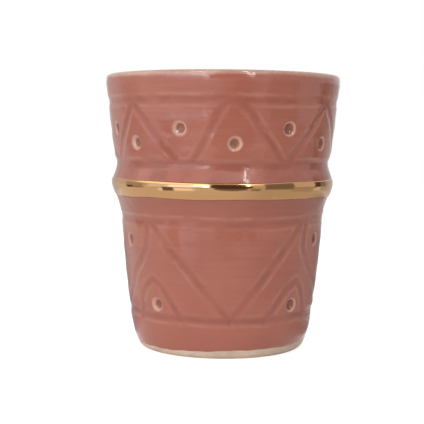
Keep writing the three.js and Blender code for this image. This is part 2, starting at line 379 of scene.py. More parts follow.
class CupStage(PropertyGroup):
    """Camera, light and floor."""

    camera_distance: length("Camera distance", "From the cup's axis to the camera", 313)
    camera_height: length("Camera height", "Height of the camera above the table", 62.7)
    aim_side: length("Aim to the side", "Sideways place that the camera looks at", -2.98)
    aim_height: length("Aim height", "Height that the camera looks at", 39.5)
    roll: FloatProperty(
        name="Roll", description="Turn of the camera about its view", default=math.radians(0.49),
        subtype="ANGLE",
    )
    lens: FloatProperty(
        name="Focal length", description="Lens on a sensor 36 mm wide", default=88.9, unit="CAMERA"
    )
    floor_size: length("Floor size", "Side of the floor", 6000)
    room_light: share("Room light", "Strength of the light from all round", 0.52)
    key_power: power("Key light", "Power of the key light", 2.48)
    back_power: power("Back light", "Power of the back light", 1.9)
    window_power: power("Window", "Power of the window light", 0.4)
    lamp_power: power("Lamp", "Power of the lamp in the window", 0.16)
    high_lamp_power: power("High lamp", "Power of the lamp above the window", 0.13)
    strip_power: power("Strip", "Power of the strip light", 0.72)


# Profiles


def smooth(value):
    """Rises from nought to one as the value does, level at both ends."""
    held = np.clip(value, 0, 1)
    return held * held * (3 - 2 * held)


def turns(columns):
    """One row of angles round the cup, from the back by way of the front."""
    return np.linspace(-np.pi, np.pi, columns, endpoint=False)[np.newaxis, :]


def wrapped(angle):
    """The same angle by the shorter way round."""
    return np.mod(angle + np.pi, 2 * np.pi) - np.pi


def spaced(knots, counts, last=False):
    """A column of values in even steps from each knot to the next, with or without the last knot."""
    runs = [np.linspace(a, b, n, endpoint=False) for a, b, n in zip(knots, knots[1:], counts)]
    return np.concatenate(runs + ([[knots[-1]]] if last else []))[:, np.newaxis]


def half_wave(height, low, high):
    """Half a wave from nought at one height, through one, to nought at another, and nought beyond them."""
    return np.sin(np.pi * np.clip((height - low) / (high - low), 0, 1))


def eased(value, start, width):
    """Rises from nought at the start to one after the width, or backwards if the width is negative."""
    return smooth((value - start) / width)


def bell(value, middle, spread, order=2):
    """A bell curve that is one at its middle, with a flatter top at a higher order."""
    return np.exp(-(((value - middle) / spread) ** order))


def waves(turn, rows):
    """A sum of waves round the cup."""
    return sum(high * np.sin(count * turn + phase) for high, count, phase in rows) * MM


def outside(shape, height):
    """Radius of the outside.

    A flare, half a wave of belly, a squared one of swell, a bell-shaped ridge, a bead that eases out to the
    rim's radius at the lip, and a square that tucks in the foot.
    """
    spread_out = shape.rim_radius - shape.base_radius
    flare = spread_out * height / shape.flare_height
    bead_way = smooth((height - shape.lip_height) / shape.lip_bead + 1)
    bead = spread_out * (1 - shape.lip_height / shape.flare_height) * bead_way
    belly = shape.belly * half_wave(height, 0, shape.belly_height)
    swell = shape.swell * half_wave(height, shape.swell_low, shape.lip_height) ** 2
    spread = np.where(height < shape.ridge_height, shape.ridge_below, shape.ridge_above)
    ridge = shape.ridge_proud * np.exp(-0.5 * ((height - shape.ridge_height) / spread) ** 2)
    tuck = shape.tuck * np.maximum(0, 1 - height / shape.tuck_height) ** 2
    return shape.base_radius + flare + bead + belly + swell + ridge - tuck


def inside(shape, height):
    """Radius of the inside: a straight line from the floor to the lip."""
    low = outside(shape, shape.floor_height) - shape.wall
    high = shape.rim_radius - shape.wall
    rise = (height - shape.floor_height) / (shape.lip_height - shape.floor_height)
    return low + (high - low) * rise


def thrown(shape, turn, height):
    """What the hands leave on the wall.

    Two lobes, three that lean, and a spiral, all shallow and dying out at foot and lip.
    """
    lobes = LOBE * (np.sin(2 * turn + LOBE_PHASE) + np.sin(3 * turn + height / LOBE_LEAN))
    spiral = SPIRAL * np.sin(2 * np.pi * height / SPIRAL_PITCH + turn)
    return (lobes + spiral) * eased(height, shape.lip_height, -LIP_FADE) * eased(height, 0, FOOT_FADE)


def glaze_edge(shape, turn):
    """Height of the glaze's lower edge: a slow lean and a few brush-like waves about its line."""
    return shape.glaze_line + waves(turn, GLAZE_LINE_WAVES)


# Cuts


def corners_cut(points):
    """The same chain with each corner cut off at a quarter and three quarters of its sides, its ends kept."""
    first, second = points[:-1], points[1:]
    pairs = np.stack([0.75 * first + 0.25 * second, 0.25 * first + 0.75 * second], axis=1)
    inner = pairs.reshape(-1, 2)
    return np.concatenate([points[:1], inner[1:-1], points[-1:]])


def chain_of(places, low, high, turned=0, rounds=0):
    """A chain of places in degrees and shares as angles and heights between two rings, its bends rounded."""
    chain = np.array(places, float)
    angles = np.radians(chain[:, 0] + turned)
    points = np.stack([angles, low + (high - low) * chain[:, 1]], axis=1)
    for _ in range(rounds):
        points = corners_cut(points)
    return points


def frieze_chains(cuts):
    """Every chain of strokes on the cup."""
    low, high = cuts.waist_ring, cuts.top_ring
    chains = [chain_of(((foot, 0), (top, 1)), low, high) for foot, top in ZIGZAG_STROKES]
    low, high = cuts.bottom_ring, cuts.shoulder_ring
    for turned in LOWER_TURNS:
        chains.append(chain_of(LOWER_CHEVRON, low, high, turned))
        chains += [chain_of(scroll, low, high, turned, rounds=3) for scroll in LOWER_SCROLLS]
        chains += [chain_of(tent, low, high, turned, rounds=1) for tent in LOWER_TENTS]
    return chains


def stroke_feet(cuts):
    """Angle and height of every place where a stroke meets the bottom ring."""
    return [place for chain in frieze_chains(cuts) for place in chain if place[1] == cuts.bottom_ring]


def pit_places(cuts):
    """Angle and height of every pit."""
    low = [(degrees, LOW_PIT_SHARE) for degrees in LOW_PITS]
    high = [(degrees, HIGH_PIT_SHARE) for degrees in HIGH_PITS]
    upper = [chain_of(low + high, cuts.waist_ring, cuts.top_ring)]
    lower = [chain_of(LOWER_PITS, cuts.bottom_ring, cuts.shoulder_ring, turned) for turned in LOWER_TURNS]
    return np.concatenate(upper + lower)


def stroke_distance(shape, cuts, turn, height):
    """Distance along the wall to the middle of the nearest stroke: the least over all straight pieces."""
    sway = STROKE_SWAY * np.sin(height / SWAY_LENGTH + 3 * turn)
    lift = STROKE_LIFT * np.sin(6 * turn + height / LIFT_LENGTH)
    nearest = np.full(np.broadcast(turn, height).shape, FAR)
    for chain in frieze_chains(cuts):
        for start, end in zip(chain, chain[1:]):
            angle, level = (start + end) / 2
            radius = outside(shape, level)
            across = radius * wrapped(turn - angle) + sway
            up = height - level + lift
            half_across, half_up = radius * (end[0] - start[0]) / 2, (end[1] - start[1]) / 2
            along = (across * half_across + up * half_up) / (half_across**2 + half_up**2)
            held = np.clip(along, -1, 1)
            gap = np.hypot(across - held * half_across, up - held * half_up)
            nearest = np.minimum(nearest, gap)
    return nearest


def place_distance(shape, places, turn, height, drop=0.0):
    """Distance along the wall to the nearest of some places, each dropped a little."""
    nearest = np.full(np.broadcast(turn, height).shape, FAR)
    for angle, level in places:
        across = outside(shape, level) * wrapped(turn - angle)
        nearest = np.minimum(nearest, np.hypot(across, height - level + drop))
    return nearest


def carving(shape, cuts, turn, height, widen=0.0):
    """Depth of the cuts, distance beyond the edge of the nearest line, and distance to the nearest pit.

    A line has a level floor, sides that ease out over the softening, and a low burr just outside them. It is
    pressed in less at the front, by a flat-topped bell curve. The groove above the ridge has one such side
    and fades out downwards. A stroke that meets the bottom ring ends in a dent below it. A pit is a funnel
    with a hole in its middle and a bowl in the bottom.
    """
    level = height + waves(turn, RING_WAVES)
    half_ring = cuts.ring_width / 2
    rings = np.minimum(np.abs(level - cuts.top_ring), np.abs(level - cuts.bottom_ring)) - half_ring
    shoulder = np.abs(level - cuts.shoulder_ring) - half_ring
    strokes = stroke_distance(shape, cuts, turn, height) - cuts.stroke_width / 2
    over_waist = level - cuts.waist_ring - cuts.waist_width / 2
    waist = np.where(height > shape.ridge_height, over_waist, FAR)
    dents = place_distance(shape, stroke_feet(cuts), turn, height, cuts.foot_mark_drop) - cuts.foot_mark
    edge = np.minimum.reduce(np.broadcast_arrays(rings, shoulder, strokes, waist, dents))

    def floor(beyond, soften=cuts.soften):
        """One on the floor of a cut, easing to nought across its edge."""
        return smooth(0.5 - (beyond - widen) / soften)

    cut = np.maximum(cuts.ring_depth * floor(rings), cuts.stroke_depth * floor(strokes))
    cut = np.maximum(cut, cuts.shoulder_depth * floor(shoulder))
    cut = cut * (1 - PRESS_LOSS * bell(turn, *PRESS_PLACE, order=4))
    fading = bell(np.minimum(level, cuts.waist_ring), cuts.waist_ring, WAIST_FADE)
    cut = np.maximum(cut, cuts.waist_depth * floor(waist) * fading)
    cut = cut + cuts.foot_mark_depth * floor(dents, DENT_SOFTEN)
    burr = cuts.burr * bell(edge, BURR_MIDDLE * cuts.soften, BURR_SPREAD * cuts.soften)
    pit = place_distance(shape, pit_places(cuts), turn, height)
    reach = (pit - widen) / cuts.pit_radius
    bowl = cuts.pit_bowl * (1 - np.clip(reach, 0, 1) ** 2)
    hole = cuts.pit_depth * eased(reach, *PIT_HOLE) + bowl
    funnel = cuts.funnel_depth * eased(reach, *PIT_FUNNEL)
    clear = eased(reach, *PIT_CLEAR)
    # Only the finished face has burrs
    burrs = (burr * clear + cuts.burr * bell(reach, *PIT_BURR)) * (widen == 0)
    return cut * clear + hole + funnel - burrs, edge, pit


# Meshes


def placed(radius, turn, height):
    """Points from radius, angle and height."""
    radius, turn, height = np.broadcast_arrays(radius, turn, height)
    return np.stack([radius * np.sin(turn), -radius * np.cos(turn), height], axis=-1)


def surface_mesh(name, points, poles=None, attributes=None):
    """Closed mesh of a grid that wraps round its columns.

    Its rows wrap too, or end in two poles on the axis.
    """
    rows, columns = points.shape[:2]
    index = np.arange(rows * columns).reshape(rows, columns)
    beside = np.roll(index, -1, axis=1)
    last = rows if poles is None else rows - 1
    above, above_beside = np.roll(index, -1, axis=0), np.roll(beside, -1, axis=0)
    quads = np.stack([index, beside, above_beside, above], axis=-1)[:last].reshape(-1, 4)
    vertices = points.reshape(-1, 3)
    fans = np.empty((0, 3), int)
    if poles is not None:
        start, end = len(vertices), len(vertices) + 1
        vertices = np.concatenate([vertices, [(0, 0, poles[0]), (0, 0, poles[1])]])
        start_fan = np.stack([np.full(columns, start), beside[0], index[0]], axis=1)
        end_fan = np.stack([np.full(columns, end), index[-1], beside[-1]], axis=1)
        fans = np.concatenate([start_fan, end_fan])
    corners = np.concatenate([quads.ravel(), fans.ravel()])
    starts = np.concatenate([4 * np.arange(len(quads)), 4 * len(quads) + 3 * np.arange(len(fans))])
    mesh = bpy.data.meshes.new(name)
    mesh.vertices.add(len(vertices))
    mesh.vertices.foreach_set("co", vertices.ravel())
    mesh.loops.add(len(corners))
    mesh.loops.foreach_set("vertex_index", corners)
    mesh.polygons.add(len(starts))
    mesh.polygons.foreach_set("loop_start", starts)
    mesh.polygons.foreach_set("use_smooth", np.ones(len(starts), bool))
    for key, values in (attributes or {}).items():
        layer = mesh.attributes.new(key, "FLOAT", "POINT")
        layer.data.foreach_set("value", values.ravel().astype(np.float32))
    mesh.update(calc_edges=True)
    if mesh.validate(verbose=False):
        raise ValueError(f"the grid of {name} does not make a sound mesh")
    return mesh


def linked(name, data):
    """A new object in the scene."""
    made = bpy.data.objects.new(name, data)
    bpy.context.scene.collection.objects.link(made)
    return made


def add_piece(name, mesh, material, node):
    """Puts a mesh into the scene as a piece that stands for a CAD node."""
    piece = linked(name, mesh)
    mesh.materials.append(material)
    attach(piece, "root")
    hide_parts(node)


def coat_mesh(name, sections):
    """Closed coat from sections of radius, angle, height and the two distances that its finish reads."""
    sections = [np.broadcast_arrays(*section) for section in sections]
    radius, turn, height, edge, pit = (np.concatenate(values) for values in zip(*sections))
    return surface_mesh(name, placed(radius, turn, height), attributes={"line_edge": edge, "pit_reach": pit})


def lathe_mesh(name, turn, parts, poles):
    """Closed mesh of parts of radius and height, from one pole on the axis to the other."""
    parts = [np.broadcast_arrays(radius, height, turn) for radius, height in parts]
    radius, height, turn = (np.concatenate(values) for values in zip(*parts))
    return surface_mesh(name, placed(radius, turn, height), poles)


def carved_face(shape, cuts, turn, height, inset=0.0, widen=0.0):
    """Part of the outer wall: its radius and the marks of throwing, less the cuts' depth and an inset."""
    depth, edge, pit = carving(shape, cuts, turn, height, widen)
    radius = outside(shape, height) + thrown(shape, turn, height) - depth - inset
    return radius, turn, height, edge, pit


def plain_part(turn, radius, height):
    """Part of a coat that has no cuts."""
    return radius, turn, height, FAR, FAR


def lip_part(shape, turn, inset, rows, back=False):
    """The lip from the outside to the inside, or back: half of a squared ellipse as wide as the wall."""
    angle = np.linspace(np.pi if back else 0, 0 if back else np.pi, rows)[:, np.newaxis]
    across = np.sign(np.cos(angle)) * np.abs(np.cos(angle)) ** (2 / LIP_SQUARENESS)
    up = np.sin(angle).clip(0) ** (2 / LIP_SQUARENESS)
    middle = shape.rim_radius - shape.wall / 2
    half = shape.wall / 2 - inset
    return plain_part(turn, middle + half * across, shape.lip_height + (shape.lip_rise - inset) * up)


def foot_parts(shape, turn, edge):
    """The clay's foot, from the axis outwards and up to the glaze.

    A hollow with turned rings, a smooth step, a level ring to stand on, a quarter-round heel, and a bare band
    that follows the outside and is worn thin low down.
    """
    outer = outside(shape, 0.0) - FOOT_SET_IN - HEEL
    inner = outer - shape.foot_ring
    hollow = spaced((AXIS_HOLE, inner - shape.foot_recess), (HOLLOW_ROWS,))
    turned = TURNED_RING * np.sin(2 * np.pi * hollow / TURNED_PITCH - turn) * smooth(hollow / TURNED_FADE)
    slope = spaced((0, 1), (STEP_ROWS,))
    heel = spaced((-np.pi / 2, HEEL_END), (HEEL_ROWS,))
    band = HEEL + (edge + BARE_OVERLAP - HEEL) * spaced((0, 1), (BARE_ROWS,), last=True)
    wear = BARE_WEAR * (1 - eased(band, *BARE_WEAR_SPAN))
    return [
        (hollow, shape.foot_recess + turned),
        (inner - shape.foot_recess * (1 - slope), shape.foot_recess * (1 - smooth(slope))),
        (spaced((inner, outer), (RING_ROWS,)), 0.0),
        (outer + HEEL * np.cos(heel), HEEL + HEEL * np.sin(heel)),
        (outside(shape, band) - BARE_SET_IN - wear, band),
    ]


def bowl_part(shape, inset):
    """The round from the inside wall to the floor, and the floor to near the axis: a parabola, then level."""
    top = shape.floor_height + shape.fillet
    floor = shape.floor_height - inset
    way = spaced((0, 1), (ROUND_ROWS,))
    wall_foot = inside(shape, shape.floor_height)
    ends = (inside(shape, top) + inset, wall_foot + inset, wall_foot - shape.fillet)
    radius = (1 - way) ** 2 * ends[0] + 2 * way * (1 - way) * ends[1] + way**2 * ends[2]
    height = (1 - way) ** 2 * top + (1 - (1 - way) ** 2) * floor
    level = spaced((ends[2], AXIS_HOLE), (FLOOR_ROWS,), last=True)
    return np.concatenate([radius, level]), np.concatenate([height, np.full(level.shape, floor)])


def upper_coat(shape, cuts, turn, seam):
    """Sections of the glaze above the seam: up the face, over the lip, down inside it, and back behind."""
    top = shape.lip_height
    low, high = UPPER_FRIEZE_SPAN
    face = spaced((seam, low, high, top), UPPER_ROWS)
    back = spaced((top, high, low, seam), UPPER_BACK_ROWS, last=True)
    fall = spaced((top, shape.joint_height), (RETURN_ROWS,), last=True)
    return [
        carved_face(shape, cuts, turn, face),
        lip_part(shape, turn, 0, LIP_ROWS),
        plain_part(turn, inside(shape, fall[1:]), fall[1:]),
        plain_part(turn, inside(shape, fall[::-1]) + shape.coat, fall[::-1]),
        lip_part(shape, turn, shape.coat, LIP_BACK_ROWS, back=True),
        carved_face(shape, cuts, turn, back[1:], shape.coat, COAT_WIDEN),
    ]


def lower_coat(shape, cuts, turn, seam):
    """Sections of the glaze below the seam: round its lower edge, up the face, and back behind."""
    edge = glaze_edge(shape, turn)
    nose = np.linspace(-0.5 * np.pi, 0, NOSE_ROWS)[:-1, np.newaxis]
    nose_height = edge + GLAZE_NOSE * (1 + np.sin(nose))
    nose_radius = outside(shape, nose_height) - GLAZE_NOSE * (1 - np.cos(nose))
    low, high = LOWER_FRIEZE_SPAN
    climb = spaced((0, low, high, 1), LOWER_ROWS, last=True)
    fall = spaced((1, high, low, 0), LOWER_BACK_ROWS, last=True)
    face = edge + GLAZE_NOSE + (seam - edge - GLAZE_NOSE) * climb
    return [
        plain_part(turn, nose_radius, nose_height),
        carved_face(shape, cuts, turn, face),
        carved_face(shape, cuts, turn, edge + (seam - edge) * fall, shape.coat, COAT_WIDEN),
    ]


# Nodes


class Wire:
    """A node's output that can stand in a sum: arithmetic on it adds Math nodes."""

    def __init__(self, sheet, socket):
        self.sheet = sheet
        self.socket = socket

    def out(self, name):
        """Another output of the same node."""
        return Wire(self.sheet, self.socket.node.outputs[name])

    def math(self, operation, *values):
        """A Math node on these values."""
        return self.sheet.add("ShaderNodeMath", {"operation": operation}, dict(enumerate(values)))

    def __add__(self, other):
        return self.math("ADD", self, other)

    def __radd__(self, other):
        return self.math("ADD", other, self)

    def __sub__(self, other):
        return self.math("SUBTRACT", self, other)

    def __rsub__(self, other):
        return self.math("SUBTRACT", other, self)

    def __mul__(self, other):
        return self.math("MULTIPLY", self, other)

    def __rmul__(self, other):
        return self.math("MULTIPLY", other, self)

    def __truediv__(self, other):
        return self.math("DIVIDE", self, other)

    def __abs__(self):
        return self.math("ABSOLUTE", self)

    def greatest(self, other):
        """The greater of two values."""
        return self.math("MAXIMUM", self, other)

    def ramp(self, low, high):
        """Eases from nought at low to one at high; low may be the greater."""
        return self.sheet.add(
            "ShaderNodeMapRange",
            {"interpolation_type": "SMOOTHSTEP"},
            {"Value": self, "From Min": low, "From Max": high},
        )


class NodeSheet:
    """The nodes of one material or world."""

    def __init__(self, owner):
        owner.use_nodes = True
        self.tree = owner.node_tree
        self.tree.nodes.clear()

    def add(self, kind, settings=None, sockets=None, output=0):
        """Adds a node, with its settings first and then the values or links of its sockets."""
        node = self.tree.nodes.new(kind)
        for key, value in (settings or {}).items():
            setattr(node, key, value)
        for key, value in (sockets or {}).items():
            if isinstance(value, Wire):
                self.tree.links.new(value.socket, node.inputs[key])
            else:
                node.inputs[key].default_value = value
        return Wire(self, node.outputs[output]) if node.outputs else None

    def blend(self, mask, first, second):
        """The first colour where the mask is nought and the second where it is one."""
        colours = dict(zip(MIX_COLOURS, (rgba(first), rgba(second))))
        return self.add("ShaderNodeMix", {"data_type": "RGBA"}, {0: mask, **colours}, MIX_RESULT)

    def place(self):
        """Object coordinates."""
        return self.add("ShaderNodeTexCoord", output="Object")

    def attribute(self, name):
        """A distance kept on the mesh, in millimetres."""
        return self.add("ShaderNodeAttribute", {"attribute_name": name}, output="Fac") / MM

    def along(self, place, axis):
        """One coordinate, in millimetres."""
        return self.add("ShaderNodeSeparateXYZ", None, {"Vector": place}, axis) / MM

    def noise(self, place, size, detail=2.0, stretch=(1, 1, 1), lean=0.0):
        """Noise whose blotches are about so many millimetres across, drawn out along the axes and leaning."""
        scale = tuple(1 / (size * MM * along) for along in stretch)
        leaning = self.add("ShaderNodeMapping", None, {"Vector": place, "Rotation": (0, lean, 0)})
        drawn = self.add("ShaderNodeMapping", None, {"Vector": leaning, "Scale": scale})
        return self.add("ShaderNodeTexNoise", None, {"Vector": drawn, "Scale": 1.0, "Detail": detail})


def rgba(value):
    """A colour with its alpha, or the link that carries one."""
    return value if isinstance(value, Wire) else (*value, 1.0)


def surface(sheet, sockets):
    """Ends a material in one Principled shader."""
    shader = sheet.add("ShaderNodeBsdfPrincipled", None, sockets)
    sheet.add("ShaderNodeOutputMaterial", None, {"Surface": shader})


class GlazeSheet(NodeSheet):
    """The nodes of a rose glaze, from the colour of its wall to its cuts and its lip."""

    def __init__(self, owner, finish):
        super().__init__(owner)
        self.finish = finish
        self.here = self.place()
        self.level = self.along(self.here, "Z")
        self.side = self.along(self.here, "X")
        self.clouds = self.noise(self.here, size=14, detail=3.0)

    def belt(self, middle, outer, inner):
        """One near a height, easing to nought further away."""
        return abs(self.level - middle).ramp(outer, inner)

    def wall(self):
        """Streaks of the wheel, glaze pooled under the rim and thin on the ridge.

        Painted shade under the ridge and towards the right of the rim, and painted light low on the wall.
        """
        finish = self.finish
        streaks = self.noise(self.here, size=1.0, detail=3.0, stretch=(24, 24, 1))
        tone = (0.6 * self.clouds + 0.4 * streaks).ramp(0.38, 0.62)
        streaked = self.blend(tone, finish.rose, finish.rose_warm)
        # Glaze pooled under the rim, with painted shade that grows towards the right side
        rim = self.level.ramp(*UNDER_RIM) * (0.2 + 0.7 * self.side.ramp(*RIM_SHADE_RIGHT))
        # Painted shade under the ridge: the glaze is darkened there as if in the ridge's shadow
        thick = self.belt(*UNDER_RIDGE_SHADE).greatest(rim)
        pooled_and_shaded = self.blend(0.45 * thick, streaked, finish.rose_pool_and_shade)
        # Painted light low on the wall, and thin glaze on the ridge
        thin = (0.5 * self.level.ramp(*LIT_LOW_WALL)).greatest(0.9 * self.belt(*RIDGE_TOP))
        return self.blend(thin, pooled_and_shaded, finish.rose_thin_and_lit)

    def cuts(self, wall):
        """Pooled lines with thin patchy edges, fainter at the front, and pits with a pale mouth."""
        finish = self.finish
        edge = self.attribute("line_edge")
        pit = self.attribute("pit_reach")
        patchy = self.noise(self.here, size=6, detail=2.0).ramp(0.36, 0.64)
        pooled_and_shaded = self.blend(edge.ramp(0.2, -0.9) * (0.35 + 0.5 * patchy), wall, finish.rose_pool_and_shade)
        friezes = self.belt(*UPPER_FRIEZE) + self.belt(*LOWER_FRIEZE)
        soft = friezes * self.side.ramp(*SOFT_LEFT) * self.side.ramp(*SOFT_RIGHT)
        thin = abs(edge - 0.55).ramp(0.75, 0.0) * (1 - 0.6 * soft) * (0.14 + 0.52 * patchy)
        edged = self.blend(thin, pooled_and_shaded, finish.rose_edge)
        bore = pit - (0.32 * self.side.ramp(*BORE_RIGHT)).greatest(0.26 * self.side.ramp(*BORE_LEFT))
        mouth = pit.ramp(2.4, 1.6) * bore.ramp(1.1, 1.4)
        rimmed = self.blend(0.9 * mouth, edged, finish.pit_rim)
        return self.blend(bore.ramp(1.45, 0.95), rimmed, finish.pit_floor)

    def lip(self, below):
        """Pale glaze on the lip, brushed and hatched, that comes down a little at one side."""
        brushed = self.noise(self.here, size=3, detail=3.0, stretch=(3, 3, 1))
        run = self.side.ramp(*RUN_LEFT) * self.side.ramp(*RUN_RIGHT)
        hatch = self.noise(self.here, size=0.5, detail=2.0, stretch=(6, 1, 1), lean=0.5).ramp(0.35, 0.6)
        thin = (self.level + 0.5 * run + 1.4 * brushed).ramp(*LIP_TOP) * (0.75 + 0.25 * hatch)
        mottled = thin * (0.75 + 0.25 * self.clouds.ramp(0.35, 0.6))
        return self.blend(mottled, below, self.finish.rose_lip)


def glaze_material(finish, name, carved):
    """Rose glaze: the wall, its cuts where it has any, the lip, and a faint unevenness all over."""
    material = bpy.data.materials.new(name)
    sheet = GlazeSheet(material, finish)
    wall = sheet.wall()
    tone = sheet.lip(sheet.cuts(wall) if carved else wall)
    gloss = finish.gloss + 0.05 * sheet.clouds
    fine = sheet.noise(sheet.here, size=1.6, detail=2.0)
    broad = sheet.noise(sheet.here, size=2.4, detail=1.0)
    peel = 0.006 * fine + 0.09 * broad
    bump = sheet.add("ShaderNodeBump", None, {"Strength": 1.0, "Distance": MM, "Height": peel})
    surface(sheet, {"Base Color": tone, "Roughness": gloss, "Normal": bump, "IOR": 1.38})
    return material


def gold_material(finish):
    """Gold lustre: brushed round the band, a little uneven, and worn thin along its edges."""
    material = bpy.data.materials.new("gold_lustre")
    sheet = NodeSheet(material)
    place = sheet.place()
    strokes = sheet.noise(place, size=0.8, detail=3.0, stretch=(20, 20, 1))
    clouds = sheet.noise(place, size=6, detail=2.0)
    edge = sheet.attribute("band_edge")
    worn = (edge + 0.25 * clouds).ramp(0.45, 0.15)
    tone = sheet.blend(worn, finish.gold, finish.gold_thin)
    gloss = finish.gold_gloss + 0.04 * strokes + 0.1 * worn
    bump = sheet.add("ShaderNodeBump", None, {"Strength": 0.06, "Distance": 0.03 * MM, "Height": strokes})
    surface(sheet, {"Base Color": tone, "Metallic": 1.0, "Roughness": gloss, "Normal": bump})
    return material


def clay_material(finish):
    """Bare clay: dry and chalky, with specks, pores and grey rubbing under the foot."""
    material = bpy.data.materials.new("bare_clay")
    sheet = NodeSheet(material)
    place = sheet.place()
    clouds = sheet.noise(place, size=7, detail=4.0)
    grain = sheet.noise(place, size=0.7, detail=3.0)
    tone = sheet.blend((clouds * 0.7 + grain * 0.3).ramp(0.4, 0.72), finish.clay, finish.clay_stain)
    bump = sheet.add("ShaderNodeBump", None, {"Strength": 0.5, "Distance": 0.12 * MM, "Height": grain})
    surface(sheet, {"Base Color": tone, "Roughness": 0.85 + 0.1 * grain, "Normal": bump})
    return material


# Operators


class CupOperator:
    """What the operators of this panel share."""

    bl_options = {"REGISTER", "UNDO"}


class CUP_OT_clay_body(CupOperator, Operator):
    """Makes the thrown clay body with its bare foot"""

    bl_idname = "cup.clay_body"
    bl_label = "Clay body"

    def execute(self, context):
        scene = context.scene
        shape, cuts = scene.cup_shape, scene.cup_cuts
        turn = turns(BODY_COLUMNS)
        inset = shape.coat + shape.bond
        edge = glaze_edge(shape, turn)
        start = edge + EDGE_ROOM
        climb = start + (shape.lip_height - start) * spaced((0, 1), (WALL_ROWS,))
        wall = carved_face(shape, cuts, turn, climb, inset, CLAY_WIDEN)
        lip = lip_part(shape, turn, inset, LIP_CLAY_ROWS)
        fall = spaced((shape.lip_height, shape.floor_height + shape.fillet), (INSIDE_ROWS,))[1:]
        parts = foot_parts(shape, turn, edge)
        parts += [(wall[0], wall[2]), (lip[0], lip[2]), (inside(shape, fall) + inset, fall)]
        parts.append(bowl_part(shape, inset))
        poles = (shape.foot_recess, shape.floor_height - inset)
        mesh = lathe_mesh("clay_body_mesh", turn, parts, poles)
        add_piece("thrown_body", mesh, clay_material(scene.cup_finish), "clay_body")
        return {"FINISHED"}


class CUP_OT_outer_glaze(CupOperator, Operator):
    """Makes the outer glaze above and below the gold band, with the friezes cut in it"""

    bl_idname = "cup.outer_glaze"
    bl_label = "Outer glaze"

    columns: IntProperty(name="Columns", description="Steps round the cup", default=600, min=90)

    def execute(self, context):
        scene = context.scene
        shape, cuts = scene.cup_shape, scene.cup_cuts
        turn = turns(self.columns)
        seam = (GOLD_LOW.z + GOLD_HIGH.z) / 2
        material = glaze_material(scene.cup_finish, "rose_glaze", True)
        for name, coat in (("upper_glaze", upper_coat), ("lower_glaze", lower_coat)):
            mesh = coat_mesh(f"{name}_mesh", coat(shape, cuts, turn, seam))
            add_piece(name, mesh, material, "outer_glaze")
        return {"FINISHED"}


class CUP_OT_inner_glaze(CupOperator, Operator):
    """Makes the glaze on the inside wall and the floor"""

    bl_idname = "cup.inner_glaze"
    bl_label = "Inner glaze"

    def execute(self, context):
        scene = context.scene
        shape = scene.cup_shape
        turn = turns(BODY_COLUMNS)
        top = shape.joint_height
        fillet_top = shape.floor_height + shape.fillet
        back_radius, back_height = bowl_part(shape, shape.coat)
        climb = spaced((fillet_top, top), (INNER_BACK_ROWS,), last=True)[1:]
        fall = spaced((top, top - JOINT_STEP, fillet_top), INNER_ROWS)
        # The rings are a wave down the wall that leans round it and dies out at both ends
        fade = eased(fall, top, -RIPPLE_FADE) * eased(fall, fillet_top, RIPPLE_FADE)
        ripple = RIPPLE * np.sin(2 * np.pi * fall / RIPPLE_PITCH + turn) * fade
        parts = [
            (back_radius[::-1], back_height[::-1]),
            (inside(shape, climb) + shape.coat, climb),
            (inside(shape, fall) + ripple, fall),
            bowl_part(shape, 0),
        ]
        poles = (shape.floor_height - shape.coat, shape.floor_height)
        mesh = lathe_mesh("inner_glaze_mesh", turn, parts, poles)
        material = glaze_material(scene.cup_finish, "rose_glaze_inside", False)
        add_piece("inside_glaze", mesh, material, "inner_glaze")
        return {"FINISHED"}


class CUP_OT_gold_band(CupOperator, Operator):
    """Makes the band of gold lustre on the ridge"""

    bl_idname = "cup.gold_band"
    bl_label = "Gold band"

    def execute(self, context):
        scene = context.scene
        shape = scene.cup_shape
        turn = turns(GOLD_COLUMNS)
        stray = GOLD_STRAY * bell(turn, *GOLD_STRAY_PLACE)
        low = GOLD_LOW.z + stray + waves(turn, GOLD_LOW_WAVES)
        climb = GOLD_CLIMB * eased(np.abs(turn), *GOLD_CLIMB_SPAN) - GOLD_DIP
        high = GOLD_HIGH.z + climb + waves(turn, GOLD_HIGH_WAVES)
        way = spaced((0, *GOLD_CLOSE_ROWS, 1), GOLD_ROWS, last=True)
        height = low + (high - low) * way
        from_edge = np.minimum(height - low, high - height)
        # The film stands on the thrown wall, by the root of an ease from its edges, and sinks in at them
        rounded = smooth(from_edge / GOLD_ROUND)
        film = shape.gold_film * np.sqrt(rounded) - GOLD_SINK * (1 - rounded)
        wall = outside(shape, height) + thrown(shape, turn, height)
        # The back has some of the rows, from the top down, without the edges
        back = slice(-2, 0, -GOLD_BACK_STEP)
        radius = np.concatenate([wall + film, wall[back] - GOLD_BACK])
        heights = np.concatenate([height, height[back]])
        edge = np.concatenate([from_edge, from_edge[back]])
        mesh = surface_mesh("gold_band_mesh", placed(radius, turn, heights), attributes={"band_edge": edge})
        add_piece("gold_ring", mesh, gold_material(scene.cup_finish), "gold_band")
        return {"FINISHED"}


# Stage

# Lights: the setting that holds the power, width and height in metres, azimuth and elevation in degrees,
# distance in metres, and the rays that pass the light by
LIGHTS = {
    "key_light": ("key_power", (0.5, 0.5), -14, 35, 0.9, "visible_glossy"),
    "back_light": ("back_power", (0.5, 0.5), 180, 35, 0.9, "visible_glossy"),
    "window_light": ("window_power", (0.4, 0.3), -48, 12, 0.6, "visible_glossy"),
    "lamp_light": ("lamp_power", (0.12, 0.07), -20, 12, 0.48, None),
    "high_lamp_light": ("high_lamp_power", (0.055, 0.065), -23, 40, 0.42, "visible_diffuse"),
    "strip_light": ("strip_power", (0.026, 0.42), 25, 33, 0.42, "visible_diffuse"),
}

